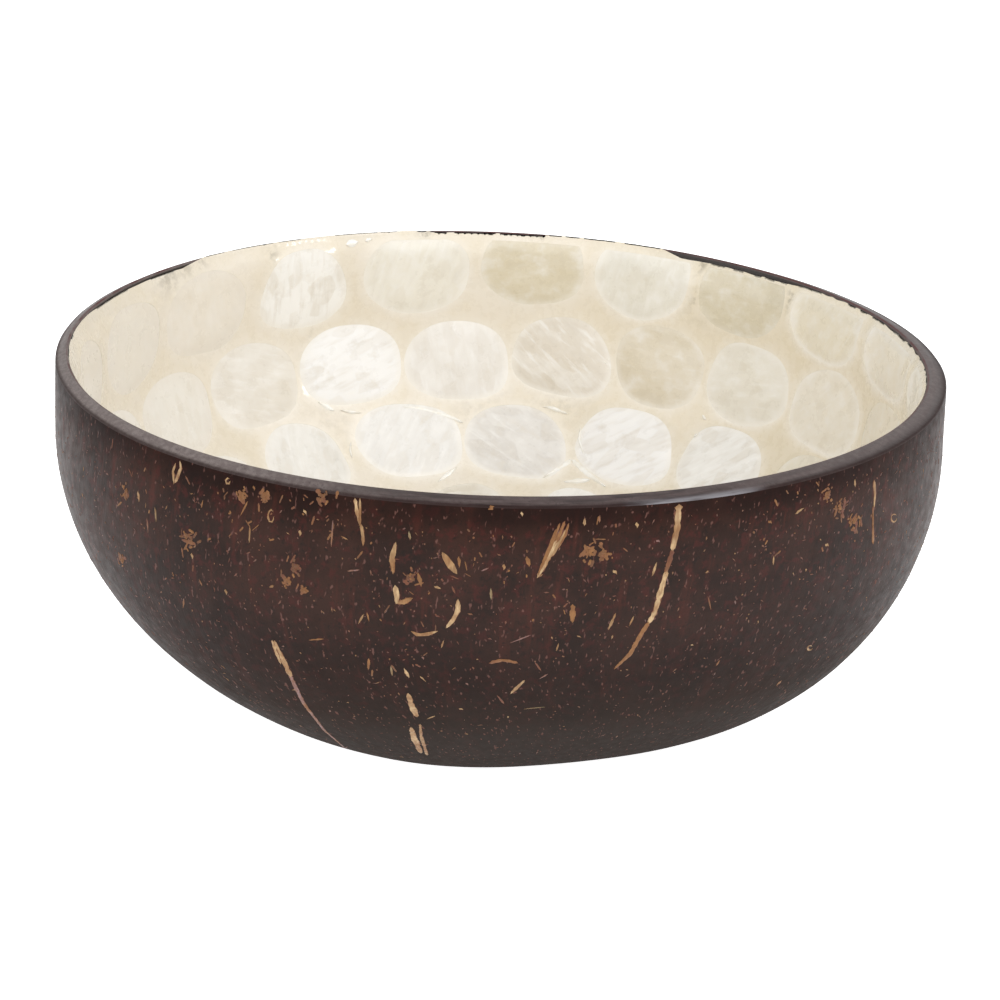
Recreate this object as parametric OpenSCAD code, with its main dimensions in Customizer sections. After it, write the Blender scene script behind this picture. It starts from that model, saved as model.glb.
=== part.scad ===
// Coconut shell bowl: a half shell, lined with cream lacquer in which pearl shell chips are set.
// The bowl stands on the table at z = 0, with the middle of its rim over the origin.

/* [Shell] */
// Outside radius of the shell at its belly
belly_r = 65; // [56:0.5:74]
// Height of the rim's inner edge above the table, over the middle of the bowl
rim_h = 55.7; // [48:0.1:64]
// Height of the upright band of wall between the belly and the rim
rim_band = 10.7; // [5:0.1:14]
// Radius of the ground flat that the bowl stands on
base_r = 28.5; // [24:0.5:32]
// Fullness of the outside curve, where 2 is an ellipse and more is squarer
outside_fullness = 1.95; // [1.9:0.05:2.1]
// Thickness of the shell wall at its belly
wall = 2.5; // [2.2:0.1:4]
// Thickness of the shell over the ground flat
floor_t = 3.5; // [2.6:0.1:5]
// Fullness of the inside curve, squarer than the outside because the base is ground off
inside_fullness = 2.2; // [2.1:0.05:2.25]
// Sideways shift of the hollow, which leaves the wall thicker on the right
hollow_shift = 0.5; // [0:0.1:0.9]
// How much lower the outer edge of the sawn rim lies than its inner edge
rim_fall = 0.7; // [0:0.1:1.5]
// Rounding of both edges of the sawn rim
rim_round = 0.4; // [0.3:0.1:1]

/* [Form of the nut] */
// How far the outline stands out along its longer axis
oval = 1.6; // [0:0.1:2]
// Bearing of the longer axis, in degrees from the right
oval_turn = -22; // [-60:1:60]
// How far the three ridges of the nut stand out at the rim
ridge_at_rim = 0.4; // [0:0.1:1.5]
// How far the same ridges stand out at the base
ridge_at_base = 1.9; // [0:0.1:2.2]
// Bearing of the first ridge, in degrees from the right
ridge_turn = -13; // [-60:1:60]
// How much lower the rim lies on the right than on the left
rim_drop = 3.2; // [0:0.1:6]
// How far the base lies to the right of the middle of the rim
base_shift = 3.5; // [0:0.1:5]
// How far the wall sways to the left half way down
wall_sway = 2.8; // [0:0.1:4]

/* [Lacquer bed] */
// Thickness of the cream lacquer bed
bed_t = 1.6; // [1.4:0.1:2.4]
// Height of the bevel that takes the bed's upper edge out to the rim
bed_bevel = 0.5; // [0.5:0.1:1.5]

/* [Chips] */
// Half the height of a shell chip
chip_r = 6.8; // [5:0.1:8]
// Radius of the flatter arcs along the top and bottom of a wall chip
chip_arch = 10.5; // [9:0.5:14]
// Thickness of a shell chip
chip_t = 0.8; // [0.5:0.05:1]
// Gap between a chip and the wall of its pocket
chip_gap = 0.1; // [0.05:0.05:0.2]
// Width of bed kept between two rows of chips
row_space = 0.3; // [0.3:0.1:4]
// Width of bed kept between two chips of a row
chip_space = 1.6; // [1:0.1:6]
// Distance of the middle of the rim row from the bevel
rim_row_drop = 5.5; // [2:0.5:9]
// Width of bed kept above the trimmed edge of the rim row
trim_margin = 0.2; // [0.2:0.1:2]
// How much nearer to the rim the rows lie on the right, and further on the left
row_lean = 3; // [0:0.1:4]
// How far the chips below the rim row crowd towards the back, in degrees
chip_crowding = 3; // [0:0.1:4]
// Number of chips in the rim row
rim_chips = 20; // [12:1:20]
// Bearing of the first chip of the rim row, in degrees from the right
rim_row_turn = 11.5; // [0:0.5:30]
// Number of chips in the middle row
middle_chips = 20; // [12:1:20]
// Bearing of the first chip of the middle row
middle_row_turn = 5; // [0:0.5:30]
// Number of chips in the lower row
lower_chips = 17; // [10:1:17]
// Bearing of the first chip of the lower row
lower_row_turn = 20.5; // [0:0.5:30]

/* [Hidden] */
// Steps round the bowl, up each curve, up the band below the rim and round the rim's edges
turn_steps = 72;
curve_steps = 16;
band_steps = 2;
round_steps = 3;

// Heights and radii that follow from the sizes above
belly_h = rim_h - rim_band;
outside_depth = belly_h / pow(1 - pow(base_r / belly_r, outside_fullness), 1 / outside_fullness);
nut_bottom = belly_h - outside_depth;
hollow_r = belly_r - wall;
bed_r = hollow_r - bed_t;
bed_floor = floor_t + bed_t;
outer_top = rim_h - rim_fall - rim_round;
bed_top = rim_h - rim_round;
face_top = bed_top - bed_bevel;
chip_pitch = 2 * chip_r + chip_space;
row_pitch = 2 * (chip_r + chip_gap) + row_space;

// Rows on the floor lie further apart, because the nut draws in between its ridges
floor_pitch = row_pitch * (1 + oval / belly_r + ridge_at_base / base_r);

// Slope of the sawn rim, which falls towards the right
rim_slope = rim_drop / (2 * belly_r);

// How far the nut swells out of round at a bearing, at a share of the way down from rim to table
function ridge(down) = ridge_at_rim / belly_r * (1 - down) + ridge_at_base / base_r * down;
function swell(turn, down) =
    1 + oval / belly_r * cos(2 * (turn - oval_turn)) + ridge(down) * cos(3 * (turn - ridge_turn));

// Sideways place of the middle of the bowl, at a share of the way down
function middle_x(down) = base_shift * down - wall_sway * sin(180 * down);

// A profile point [radius, height, sideways shift], set on the natural form of the nut
function on_nut(turn, point) =
    let (
        down = 1 - point[1] / rim_h,
        reach = point[0] * swell(turn, down),
        x = reach * cos(turn) + middle_x(down) + point[2],
        y = reach * sin(turn)
    )
    [x, y, point[1] * (1 - rim_slope * x / rim_h)];

// A wall from its bottom up to the belly, and then straight up to its top
function wall_profile(radius, bottom, top, fullness, shift) = concat(
    [for (i = [1 : curve_steps])
        let (angle = 90 * i / curve_steps, depth = belly_h - bottom)
        [radius * pow(sin(angle), 2 / fullness), belly_h - depth * pow(cos(angle), 2 / fullness), shift]],
    [for (i = [1 : band_steps])
        [radius, belly_h + (top - belly_h) * i / band_steps, shift]]
);
outside_profile = wall_profile(belly_r, nut_bottom, outer_top, outside_fullness, 0);
hollow_profile = wall_profile(hollow_r, floor_t, bed_top, inside_fullness, -hollow_shift);
bed_profile = wall_profile(bed_r, bed_floor, face_top, inside_fullness, -hollow_shift);

// The sawn rim, which falls outwards and is rounded over at its outer and at its inner edge
rim_profile = concat(
    [for (i = [1 : round_steps])
        let (angle = 90 * i / round_steps)
        [belly_r - rim_round * (1 - cos(angle)), outer_top + rim_round * sin(angle), 0]],
    [for (i = [round_steps : -1 : 1])
        let (angle = 90 * i / round_steps)
        [hollow_r + rim_round * (1 - cos(angle)), bed_top + rim_round * sin(angle), -hollow_shift]]
);

function reversed(list) = [for (i = [len(list) - 1 : -1 : 0]) list[i]];

// A closed solid round the nut: from the middle of its underside, over its profile, to its floor's middle
module nut_loft(profile, under, floor_height) {
    rings = len(profile);
    low = rings * turn_steps;
    high = low + 1;
    last = low - turn_steps;
    points = concat(
        [for (point = profile, i = [0 : turn_steps - 1]) on_nut(360 * i / turn_steps, point)],
        [on_nut(0, [0, under, profile[0][2]]), on_nut(0, [0, floor_height, profile[rings - 1][2]])]
    );
    faces = concat(
        [for (i = [0 : turn_steps - 1]) [low, i, (i + 1) % turn_steps]],
        [for (j = [0 : rings - 2], i = [0 : turn_steps - 1])
            let (a = j * turn_steps + i, b = j * turn_steps + (i + 1) % turn_steps)
            each [[a, a + turn_steps, b], [b, a + turn_steps, b + turn_steps]]],
        [for (i = [0 : turn_steps - 1]) [high, last + (i + 1) % turn_steps, last + i]]
    );
    polyhedron(points, faces);
}

// The meridian of the bed's face, carried on above the rim, with its length from the middle of the floor
meridian = concat(
    [[0, bed_floor]],
    [for (point = bed_profile) [point[0], point[1]]],
    [[bed_r, face_top + 2 * chip_r]]
);
meridian_run = [
    for (i = 0, run = 0; i < len(meridian);
         run = run + (i + 1 < len(meridian) ? norm(meridian[i + 1] - meridian[i]) : 0), i = i + 1)
    run
];
function bed_at(run) = [
    lookup(run, [for (i = [0 : len(meridian) - 1]) [meridian_run[i], meridian[i][0]]]),
    lookup(run, [for (i = [0 : len(meridian) - 1]) [meridian_run[i], meridian[i][1]]]),
    -hollow_shift
];

// Rows of chips: rim, middle and lower row up the wall, then the floor's rows and perhaps one in the middle
wall_counts = [rim_chips, middle_chips, lower_chips];
wall_turns = [rim_row_turn, middle_row_turn, lower_row_turn];
wall_crowding = [0, chip_crowding, chip_crowding];
first_floor_row = len(wall_counts);
rim_run = meridian_run[len(meridian_run) - 2] - rim_row_drop;
lower_run = rim_run - (first_floor_row - 1) * row_pitch;
rows = first_floor_row + floor(lower_run / floor_pitch);
ring_of_three = floor_pitch / 2 / sin(60) + row_lean / 2;
function level_run(row) =
    row < first_floor_row ? rim_run - row * row_pitch
    : lower_run - (row - first_floor_row + 1) * floor_pitch;
function row_run(row) = level_run(row) < ring_of_three ? 0 : level_run(row);
function row_length(row) = 2 * PI * bed_at(row_run(row) - row_lean)[0];
function row_count(row) =
    row < first_floor_row ? wall_counts[row]
    : row_run(row) == 0 ? 1
    : max(3, floor(row_length(row) / chip_pitch));

// Bearing of a chip, and the length of meridian up to its middle
function even_turn(row, number) =
    (row < first_floor_row ? wall_turns[row] : 0) + 360 * number / row_count(row);
function chip_turn(row, number) =
    let (turn = even_turn(row, number))
    turn + (row < first_floor_row ? wall_crowding[row] * cos(turn) : 0);
function chip_run(row, number) = row_run(row) + row_lean * cos(chip_turn(row, number));

// Half the width of a chip: those of the wall fill their row, and those of the floor are round
function chip_reach(row) =
    row < first_floor_row
    ? (row_length(row) / row_count(row) * (1 - wall_crowding[row] * PI / 180) - chip_space) / 2
    : chip_r;

// A point of the bed's face; a run below nothing lies on the far side of the middle
function bed_point(turn, run) =
    run < 0 ? on_nut(turn + 180, bed_at(-run)) : on_nut(turn, bed_at(run));

// Four points of the bed's face under the edge of a chip: right, left, above and below its middle
function chip_edges(turn, run, reach) =
    let (side = 2 * asin(min(sin(45), reach / 2 / bed_at(run)[0])))
    [bed_point(turn - side, run), bed_point(turn + side, run),
     bed_point(turn, run + chip_r), bed_point(turn, run - chip_r)];

// Moves a flat chip from the table to its seat, so that the edge of its face is level with the bed's face
module at_seat(row, number) {
    turn = chip_turn(row, number);
    run = chip_run(row, number);
    middle = bed_point(turn, run);
    edges = chip_edges(turn, run, chip_reach(row));
    square = cross(edges[0] - edges[1], edges[2] - edges[3]);
    facing = square / norm(square);
    level = ((edges[0] + edges[1] + edges[2] + edges[3]) / 4 - middle) * facing;
    translate(middle + facing * (level - chip_t))
        rotate([0, acos(facing[2]), atan2(facing[1], facing[0])])
            children();
}

// Everything above the line to which the rim row is trimmed
module above_trim() {
    reach = 2 * belly_r;
    trim_h = face_top - trim_margin;
    translate([0, 0, trim_h])
        rotate([0, atan(rim_slope * trim_h / rim_h), 0])
            translate([-reach, -reach, 0])
                cube([2 * reach, 2 * reach, rim_h]);
}

// A chip's outline, wider than it is high: round at its sides, with flatter arcs at its top and bottom
module chip_blank(reach, clearance, thickness) {
    intersection() {
        cylinder(r = reach + clearance, h = thickness, $fn = 48);
        translate([chip_arch - chip_r, 0, 0])
            cylinder(r = chip_arch + clearance, h = thickness, $fn = 64);
        translate([chip_r - chip_arch, 0, 0])
            cylinder(r = chip_arch + clearance, h = thickness, $fn = 64);
    }
}

// A chip or the room for it in its seat: the rim row is trimmed along the rim
module seated_blank(row, number, clearance, thickness) {
    difference() {
        at_seat(row, number)
            if (row < first_floor_row) chip_blank(chip_reach(row), clearance, thickness);
            else cylinder(r = chip_r + clearance, h = thickness, $fn = 48);
        if (row == 0) above_trim();
    }
}

module chip(row, number) {
    seated_blank(row, number, 0, chip_t);
}

// The room that a chip takes up in the bed, open towards the middle of the bowl
module pocket(row, number) {
    seated_blank(row, number, chip_gap, chip_r);
}

module coconut_shell() {
    reach = 2 * belly_r;
    color("#3b241d")
        difference() {
            nut_loft(concat(outside_profile, rim_profile, reversed(hollow_profile)), nut_bottom, floor_t);
            translate([-reach, -reach, -reach])
                cube([2 * reach, 2 * reach, reach]);
        }
}

module lacquer_bed() {
    color("#eee2cd")
        difference() {
            nut_loft(concat(hollow_profile, reversed(bed_profile)), floor_t, bed_floor);
            for (row = [0 : rows - 1], number = [0 : row_count(row) - 1])
                pocket(row, number);
        }
}

module rim_chip(number) {
    color("#f3efe4") chip(0, number);
}

module middle_chip(number) {
    color("#f6f4ee") chip(1, number);
}

module lower_chip(number) {
    color("#f8f7f3") chip(2, number);
}

module floor_chips() {
    color("#f1ece0")
        for (row = [first_floor_row : rows - 1], number = [0 : row_count(row) - 1])
            chip(row, number);
}

coconut_shell();
lacquer_bed();
for (i = [1 : rim_chips]) {
    rim_chip(i - 1);
}
for (i = [1 : middle_chips]) {
    middle_chip(i - 1);
}
for (i = [1 : lower_chips]) {
    lower_chip(i - 1);
}
floor_chips();
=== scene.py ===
# Coconut shell bowl: half a nut, sawn and polished, lined with cream lacquer and rows of pearl shell chips.
import math
import random

import bpy
import numpy as np
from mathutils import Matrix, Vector, geometry, noise
from mathutils.bvhtree import BVHTree


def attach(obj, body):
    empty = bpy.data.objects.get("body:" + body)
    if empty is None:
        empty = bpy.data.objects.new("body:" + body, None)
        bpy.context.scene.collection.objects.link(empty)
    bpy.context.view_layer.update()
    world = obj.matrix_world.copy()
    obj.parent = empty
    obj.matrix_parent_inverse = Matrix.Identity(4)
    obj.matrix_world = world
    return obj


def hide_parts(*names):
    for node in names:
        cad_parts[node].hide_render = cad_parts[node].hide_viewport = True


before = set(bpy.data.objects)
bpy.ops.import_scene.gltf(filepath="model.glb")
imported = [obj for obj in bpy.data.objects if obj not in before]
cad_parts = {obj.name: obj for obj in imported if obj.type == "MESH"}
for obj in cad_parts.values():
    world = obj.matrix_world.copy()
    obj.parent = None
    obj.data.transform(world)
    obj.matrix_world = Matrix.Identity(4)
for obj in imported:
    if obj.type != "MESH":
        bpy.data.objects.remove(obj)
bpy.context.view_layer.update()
MM = 0.001


# The view: a long lens in front of the bowl and a little above its rim, so that the far lining shows over
# the near wall. The picture is square, and a place in it is counted in pixels from its top left corner.
picture_width = 1000
view_from = Vector((0, -561.2, 242.4)) * MM
view_aim = Vector((0.3, 0, 32)) * MM
lens_length = 142.7
sensor_width = 36

view_line = (view_aim - view_from).normalized()
view_right = view_line.cross(Vector((0, 0, 1))).normalized()
view_up = view_right.cross(view_line)
camera = bpy.data.objects.new("view", bpy.data.cameras.new("view"))
bpy.context.scene.collection.objects.link(camera)
camera.location = view_from
camera.rotation_euler = view_line.to_track_quat("-Z", "Y").to_euler()
camera.data.lens = lens_length
camera.data.sensor_width = sensor_width
camera.data.clip_start = 0.01
camera.data.clip_end = 20
bpy.context.scene.camera = camera
bpy.context.scene.view_settings.view_transform = "Standard"


def line_of_sight(across, down):
    """The direction in which the camera sees a pixel of the picture."""
    pixels = lens_length / sensor_width * picture_width
    middle = picture_width / 2
    to_right = view_right * ((across - middle) / pixels)
    to_top = view_up * ((middle - down) / pixels)
    return (view_line + to_right + to_top).normalized()


# The coconut shell: one half of a nut, sawn across, scraped and polished outside, ground flat underneath.
# It is neither round nor upright: three soft ridges run down it, it leans, and its rim falls to the right
# and outwards.
belly_r, base_r, rim_h, rim_band = 65, 28.5, 55.7, 10.7
outside_fullness, inside_fullness = 1.95, 2.2
wall, floor_t, hollow_shift, rim_fall, rim_round = 2.5, 3.5, 0.5, 0.7, 0.4
oval, oval_turn = 1.6, math.radians(-22)
ridge_at_rim, ridge_at_base, ridge_turn = 0.4, 1.9, math.radians(-13)
rim_drop, base_shift, wall_sway = 3.2, 3.5, 2.8
belly_h = rim_h - rim_band
outer_top = rim_h - rim_fall - rim_round
bed_top = rim_h - rim_round
hollow_r = belly_r - wall
outside_depth = belly_h / (1 - (base_r / belly_r) ** outside_fullness) ** (1 / outside_fullness)
sharp_angle = math.radians(38)


def on_nut(turn, radius, height, shift):
    """Points in millimetres: a round profile set on the natural form of the nut."""
    down = 1 - height / rim_h
    ridge = ridge_at_rim / belly_r * (1 - down) + ridge_at_base / base_r * down
    swell = 1 + oval / belly_r * np.cos(2 * (turn - oval_turn)) + ridge * np.cos(3 * (turn - ridge_turn))
    x = radius * swell * np.cos(turn) + base_shift * down - wall_sway * np.sin(math.pi * down) + shift
    y = radius * swell * np.sin(turn)
    z = height * (1 - rim_drop / (2 * belly_r) * x / rim_h)
    return np.stack(np.broadcast_arrays(x, y, z), axis=-1)


def bearings(steps):
    """Bearings spread evenly round the bowl."""
    return np.arange(steps) * 2 * math.pi / steps


def wall_curve(radius, depth, fullness, low, steps):
    """Radius and height up a wall, from a share of its quarter turn to its belly."""
    angle = np.linspace(low, math.pi / 2, steps)
    return radius * np.sin(angle) ** (2 / fullness), belly_h - depth * np.cos(angle) ** (2 / fullness)


def make_piece(name, points, faces, *materials):
    """A mesh object, smooth except at sharp edges, from points in millimetres."""
    mesh = bpy.data.meshes.new(name)
    corners = [tuple(p) for p in np.asarray(points) * MM]
    mesh.from_pydata(corners, [], [tuple(int(i) for i in face) for face in faces])
    mesh.shade_smooth()
    mesh.set_sharp_from_angle(angle=sharp_angle)
    for material in materials:
        mesh.materials.append(material)
    piece = bpy.data.objects.new(name, mesh)
    bpy.context.scene.collection.objects.link(piece)
    return piece


def note(piece, name, values):
    """Keeps a number, a place or a colour at each point of a piece, for its material to read."""
    values = np.asarray(values, dtype=np.float32)
    kind, field = {1: ("FLOAT", "value"), 3: ("FLOAT_VECTOR", "vector"), 4: ("FLOAT_COLOR", "color")}[
        1 if values.ndim == 1 else values.shape[1]]
    piece.data.attributes.new(name, kind, "POINT").data.foreach_set(field, values.ravel())


def tone(red, green, blue):
    """A colour as the eye reads it, from 0 to 255, as the linear colour of a shader."""
    parts = [v / 255 for v in (red, green, blue)]
    return tuple(v / 12.92 if v <= 0.04045 else ((v + 0.055) / 1.055) ** 2.4 for v in parts) + (1,)


class Finish:
    """A material with one shader, and short ways to add what drives it."""

    def __init__(self, name, **constants):
        self.material = bpy.data.materials.new(name)
        self.material.use_nodes = True
        self.tree = self.material.node_tree
        self.shader = self.tree.nodes["Principled BSDF"]
        for words, value in constants.items():
            self.drive(words.replace("_", " ").title().replace("Ior", "IOR"), value)

    def drive(self, socket, value):
        self.put(self.shader.inputs[socket], value)

    def put(self, socket, value):
        if isinstance(value, bpy.types.NodeSocket):
            self.tree.links.new(value, socket)
        else:
            socket.default_value = value

    def add(self, kind, inputs, output=0, **settings):
        made = self.tree.nodes.new("ShaderNode" + kind)
        for key, value in settings.items():
            setattr(made, key, value)
        for key, value in inputs.items():
            self.put(made.inputs[key], value)
        return made.outputs[output]

    def kept(self, name, output="Vector"):
        return self.add("Attribute", {}, output, attribute_name=name)

    def stretch(self, place, scale):
        return self.add("Mapping", {"Vector": place, "Scale": scale})

    def position(self):
        return self.stretch(self.add("NewGeometry", {}, "Position"), (1 / MM, 1 / MM, 1 / MM))

    def axis(self, place, letter):
        return self.add("SeparateXYZ", {"Vector": place}, letter)

    def cloud(self, place, scale, detail=3.0, rough=0.55):
        return self.add("TexNoise", {"Vector": place, "Scale": scale, "Detail": detail, "Roughness": rough})

    def cells(self, place, scale, output="Distance"):
        return self.add("TexVoronoi", {"Vector": place, "Scale": scale}, output)

    def span(self, value, low, high, start=0.0, end=1.0):
        return self.add("MapRange", {"Value": value, "From Min": low, "From Max": high,
                                     "To Min": start, "To Max": end}, interpolation_type="SMOOTHSTEP")

    def sum(self, first, second, operation="ADD"):
        return self.add("Math", {0: first, 1: second}, operation=operation)

    def times(self, first, second):
        return self.sum(first, second, "MULTIPLY")

    def mix(self, share, first, second):
        return self.add("Mix", {0: share, 6: first, 7: second}, 2, data_type="RGBA")

    def relief(self, height, depth, strength=1.0, under=None):
        inputs = {"Height": height, "Distance": depth * MM, "Strength": strength}
        if under is not None:
            inputs["Normal"] = under
        return self.add("Bump", inputs)


def polished_shell():
    """Dark polished coconut shell: mottled brown and maroon, pale grain marks, painted shade under the rim
    and low on the wall, a painted grey table reflection at the base.
    """
    finish = Finish("polished_shell")
    place = finish.kept("wrap")
    height = finish.axis(place, "Z")
    upright = finish.stretch(place, (1, 1, 0.16))
    patches = finish.span(finish.cloud(place, 0.11, 5, 0.62), 0.34, 0.68)
    brown = finish.mix(patches, tone(36, 23, 19), tone(50, 31, 25))
    maroon = finish.span(finish.cloud(place, 0.62, 4, 0.62), 0.50, 0.66)
    brown = finish.mix(finish.times(maroon, 0.48), brown, tone(68, 30, 27))
    streaks = finish.span(finish.cloud(upright, 0.5, 4), 0.54, 0.72)
    brown = finish.mix(finish.times(streaks, 0.5), brown, tone(74, 36, 29))
    black = finish.span(finish.cloud(place, 0.9, 3, 0.7), 0.54, 0.70)
    brown = finish.mix(finish.times(black, 0.6), brown, tone(27, 21, 18))
    # Painted shade: a dark band just under the rim, broken up by a cloud.
    painted_shade_under_rim = finish.span(height, -4.5, -0.5)
    uneven_shade = finish.span(finish.cloud(place, 0.07, 3), 0.35, 0.6, 0.35, 0.80)
    brown = finish.mix(finish.times(painted_shade_under_rim, uneven_shade), brown, tone(27, 15, 13))
    # Painted shade: darker low on the wall, where the underside lies in shade.
    brown = finish.mix(finish.span(height, -28, -10, 0.5, 0), brown, tone(27, 21, 19))
    # Painted reflection: a lighter grey near the base, standing for the white table seen in the shell.
    brown = finish.mix(finish.span(height, -46, -26, 0.7, 0), brown, tone(51, 46, 43))
    dashes = finish.span(finish.cloud(finish.stretch(place, (1, 1, 0.45)), 2.1, 1.5, 0.4), 0.65, 0.75)
    brown = finish.mix(finish.times(dashes, 0.6), brown, tone(104, 72, 65))
    for size, share, colour in ((0.75, 0.68, tone(106, 75, 60)), (0.50, 0.62, tone(94, 65, 59))):
        dots = finish.span(finish.cells(place, size), 0.05, 0.13, 1, 0)
        few = finish.span(finish.cells(place, size, "Color"), share, share + 0.08)
        brown = finish.mix(finish.times(dots, few), brown, colour)
    finish.drive("Base Color", brown)
    sheen = finish.span(height, -40, -12, 0.006, 0.11)
    duller = finish.span(height, -9, -1, 1, 0.35)
    finish.drive("Specular IOR Level", finish.times(sheen, duller))
    uneven_gloss = finish.span(finish.cloud(place, 0.6, 4), 0.3, 0.7, 0, 0.12)
    finish.drive("Roughness", finish.sum(uneven_gloss, finish.span(height, -66, -40, 0.60, 0.40)))
    grain = finish.relief(finish.cloud(upright, 2.2, 4, 0.65), 0.10, 0.3)
    finish.drive("Normal", finish.relief(dashes, -0.06, 0.5, grain))
    return finish.material


def sawn_shell():
    """The saw cut of the rim: a mauve grey brown with fine lines along the wall, red at its inner edge, dark
    at its outer one, with painted sheen lighter toward its left and right ends and a painted blue grey sheen
    in a place on the near side."""
    sheen_spot_x = 27
    finish = Finish("sawn_shell")
    place = finish.kept("wrap")
    layers = finish.cloud(finish.stretch(place, (0.25, 0.25, 2.5)), 0.6, 4, 0.6)
    grey = finish.mix(finish.span(layers, 0.32, 0.66), tone(46, 36, 35), tone(90, 77, 75))
    across = finish.axis(place, "X")
    depth = finish.axis(place, "Z")
    # Painted sheen: lighter toward the left end of the rim and, less strongly, toward the right end.
    grey = finish.mix(finish.span(across, -2, -45, 0, 0.85), grey, tone(134, 123, 119))
    grey = finish.mix(finish.span(across, 20, 60, 0, 0.6), grey, tone(120, 109, 106))
    mottled = finish.span(finish.cloud(place, 1.3, 4, 0.7), 0.40, 0.62, 0.45, 0)
    grey = finish.mix(mottled, grey, tone(64, 47, 46))
    pores = finish.span(finish.cloud(place, 2.6, 2), 0.56, 0.70)
    grey = finish.mix(finish.times(pores, 0.6), grey, tone(50, 36, 36))
    grey = finish.mix(finish.span(depth, 2.7, 3.2), grey, tone(44, 37, 34))
    rounded = finish.span(depth, 0.2, finish.span(across, 35, 55, 0.9, 2.0), 0.8, 0)
    grey = finish.mix(rounded, grey, tone(40, 28, 27))
    # Painted sheen: a pale blue grey spot on the outer part of the near rim, broken up by the layers.
    beside = finish.sum(across, sheen_spot_x, "SUBTRACT")
    painted_sheen_spot = finish.span(finish.times(beside, beside), 110, 20)
    painted_sheen_spot = finish.times(painted_sheen_spot, finish.span(depth, 1.3, 0.5))
    painted_sheen_spot = finish.times(painted_sheen_spot, finish.span(finish.axis(place, "Y"), 0, -20))
    painted_sheen_spot = finish.times(painted_sheen_spot, finish.span(layers, 0.35, 0.6, 0.25, 0.8))
    grey = finish.mix(painted_sheen_spot, grey, tone(134, 132, 136))
    inner = finish.times(finish.span(depth, 2.4, 2.6), finish.span(depth, 2.9, 2.7))
    worn = finish.span(finish.cloud(place, 0.25, 3), 0.35, 0.6, 0.3, 1)
    finish.drive("Base Color", finish.mix(finish.times(inner, worn), grey, tone(84, 38, 34)))
    finish.drive("Specular IOR Level", finish.span(depth, 0.3, 1.3, 0.05, 0.5))
    finish.drive("Roughness", finish.span(layers, 0.3, 0.7, 0.36, 0.50))
    finish.drive("Normal", finish.relief(finish.cloud(place, 3.0, 3), 0.08, 0.3))
    return finish.material


turn_steps, curve_steps, hollow_steps, band_steps, inner_band_steps, round_steps = 288, 84, 14, 8, 5, 6
uneven, uneven_span, skin = 0.12, 9, 0.05
edge_start, edge_inset, base_start, floor_start = 0.08, 0.25, 0.5, 0.12
underside_shares = (0.3, 0.6, 0.85, 0.97)
ground_angle = math.acos((belly_h / outside_depth) ** (outside_fullness / 2))
curve_r, curve_h = wall_curve(belly_r, outside_depth, outside_fullness, ground_angle, curve_steps)
hollow_curve = wall_curve(hollow_r, belly_h - floor_t, inside_fullness, floor_start, hollow_steps)
quarter = np.linspace(0, math.pi / 2, round_steps + 1)[1:]
outer_edge = [(belly_r - rim_round * (1 - math.cos(a)), outer_top + rim_round * math.sin(a), 0)
              for a in quarter]
inner_edge = [(hollow_r + rim_round * (1 - math.cos(a)), bed_top + rim_round * math.sin(a), -hollow_shift)
              for a in quarter[::-1]]
cut_middle = [tuple(np.mean([outer_edge[-1], inner_edge[0]], axis=0))]
underside = [(base_r * share, 0, 0) for share in underside_shares]
underside += [(base_r - edge_inset, edge_start, 0)]
outside = [(r, h, 0) for r, h in zip(curve_r, curve_h) if h > base_start]
band = [(belly_r, h, 0) for h in np.linspace(belly_h, outer_top, band_steps + 1)[1:]]
hollow = [(hollow_r, h, -hollow_shift) for h in np.linspace(bed_top, belly_h, inner_band_steps + 1)]
hollow += [(r, h, -hollow_shift) for r, h in zip(*hollow_curve)][-2::-1]
profile = np.array(underside + outside + band + outer_edge + cut_middle + inner_edge + hollow)
first_cut = len(underside + outside + band)
last_cut = first_cut + len(outer_edge + cut_middle + inner_edge)

turns = bearings(turn_steps)
rings = on_nut(turns[None, :], profile[:, 0:1], profile[:, 1:2], profile[:, 2:3])
outward = np.stack([np.cos(turns), np.sin(turns), 0 * turns], axis=-1)
for level in range(len(underside), first_cut + len(outer_edge)):
    for step in range(turn_steps):
        wave = 0.5 + 0.5 * noise.noise(Vector(rings[level, step]) / uneven_span)
        rings[level, step] -= outward[step] * (skin + uneven * wave)
rings[first_cut:last_cut, :, 2] -= skin
run_up = np.concatenate([[0], np.cumsum(np.linalg.norm(np.diff(profile[:, :2], axis=0), axis=1))])
run_up -= run_up[first_cut - 1]
wrap = np.stack(np.broadcast_arrays(belly_r * np.cos(turns)[None, :], belly_r * np.sin(turns)[None, :],
                                    run_up[:, None]), axis=-1)


def ring_faces(ring_count, steps):
    """Quads between each ring of points and the next, closed round the bowl."""
    for ring in range(ring_count - 1):
        for step in range(steps):
            here, beside = ring * steps + step, ring * steps + (step + 1) % steps
            yield here, beside, beside + steps, here + steps


shell_points = np.concatenate([rings.reshape(-1, 3), on_nut(0, 0, np.array([0, floor_t]), 0)])
centre_low, centre_high = len(shell_points) - 2, len(shell_points) - 1
top_ring = (len(profile) - 1) * turn_steps
shell_faces = list(ring_faces(len(profile), turn_steps))
shell_faces += [(centre_low, (i + 1) % turn_steps, i) for i in range(turn_steps)]
shell_faces += [(centre_high, top_ring + i, top_ring + (i + 1) % turn_steps) for i in range(turn_steps)]
shell = make_piece("shell_body", shell_points, shell_faces, polished_shell(), sawn_shell())
cut_faces = np.zeros(len(shell_faces), dtype=np.int32)
cut_faces[(first_cut - 1) * turn_steps:-2 * turn_steps] = 1
cut_faces[-turn_steps:] = 1
shell.data.polygons.foreach_set("material_index", cut_faces)
note(shell, "wrap", np.concatenate([wrap.reshape(-1, 3), [[0, 0, 0], [0, 0, 0]]]))
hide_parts("coconut_shell")
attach(shell, "root")


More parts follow.
